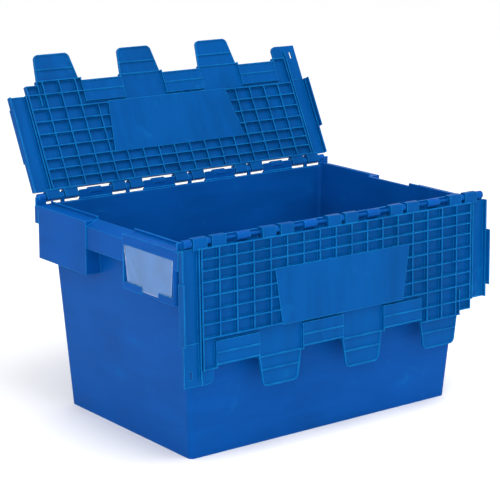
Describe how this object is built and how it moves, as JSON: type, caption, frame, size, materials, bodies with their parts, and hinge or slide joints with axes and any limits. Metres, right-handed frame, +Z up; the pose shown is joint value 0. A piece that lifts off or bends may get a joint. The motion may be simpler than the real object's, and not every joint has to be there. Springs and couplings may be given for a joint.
{
  "type": "attached-lid container",
  "caption": "Tapered plastic storage crate with two hinged interlocking lids, hand grips and a label bay.",
  "frame": {"origin": "centre of the flat base, on the surface that the container stands on", "axes": "+X along the 600 mm length, +Y towards the rear hinge line, +Z up"},
  "size_m": [0.6008, 0.5191, 0.5475],
  "materials": {
    "body_plastic": "satin, moulded polypropylene",
    "lid_plastic": "satin, moulded polypropylene",
    "rod_plastic": "satin, moulded polypropylene",
    "card": "blank coated card",
    "clear_cover": "clear film"
  },
  "bodies": {
    "container": {"container_body": "body_plastic", "front_hinge_rod": "rod_plastic", "rear_hinge_rod": "rod_plastic", "label_card": "card", "label_cover": "clear_cover"},
    "front_lid": {"front_lid": "lid_plastic"},
    "rear_lid": {"rear_lid": "lid_plastic"}
  },
  "joints": [
    {"name": "front_lid_hinge", "type": "hinge", "parent": "container", "child": "front_lid", "pos_m": [0, -0.19734, 0.33741], "axis": [1, 0, 0], "range_deg": [-268.4, 0]},
    {"name": "rear_lid_hinge", "type": "hinge", "parent": "container", "child": "rear_lid", "pos_m": [0, 0.19734, 0.33741], "axis": [-1, 0, 0], "range_deg": [-116.9, 151.5]}
  ]
}
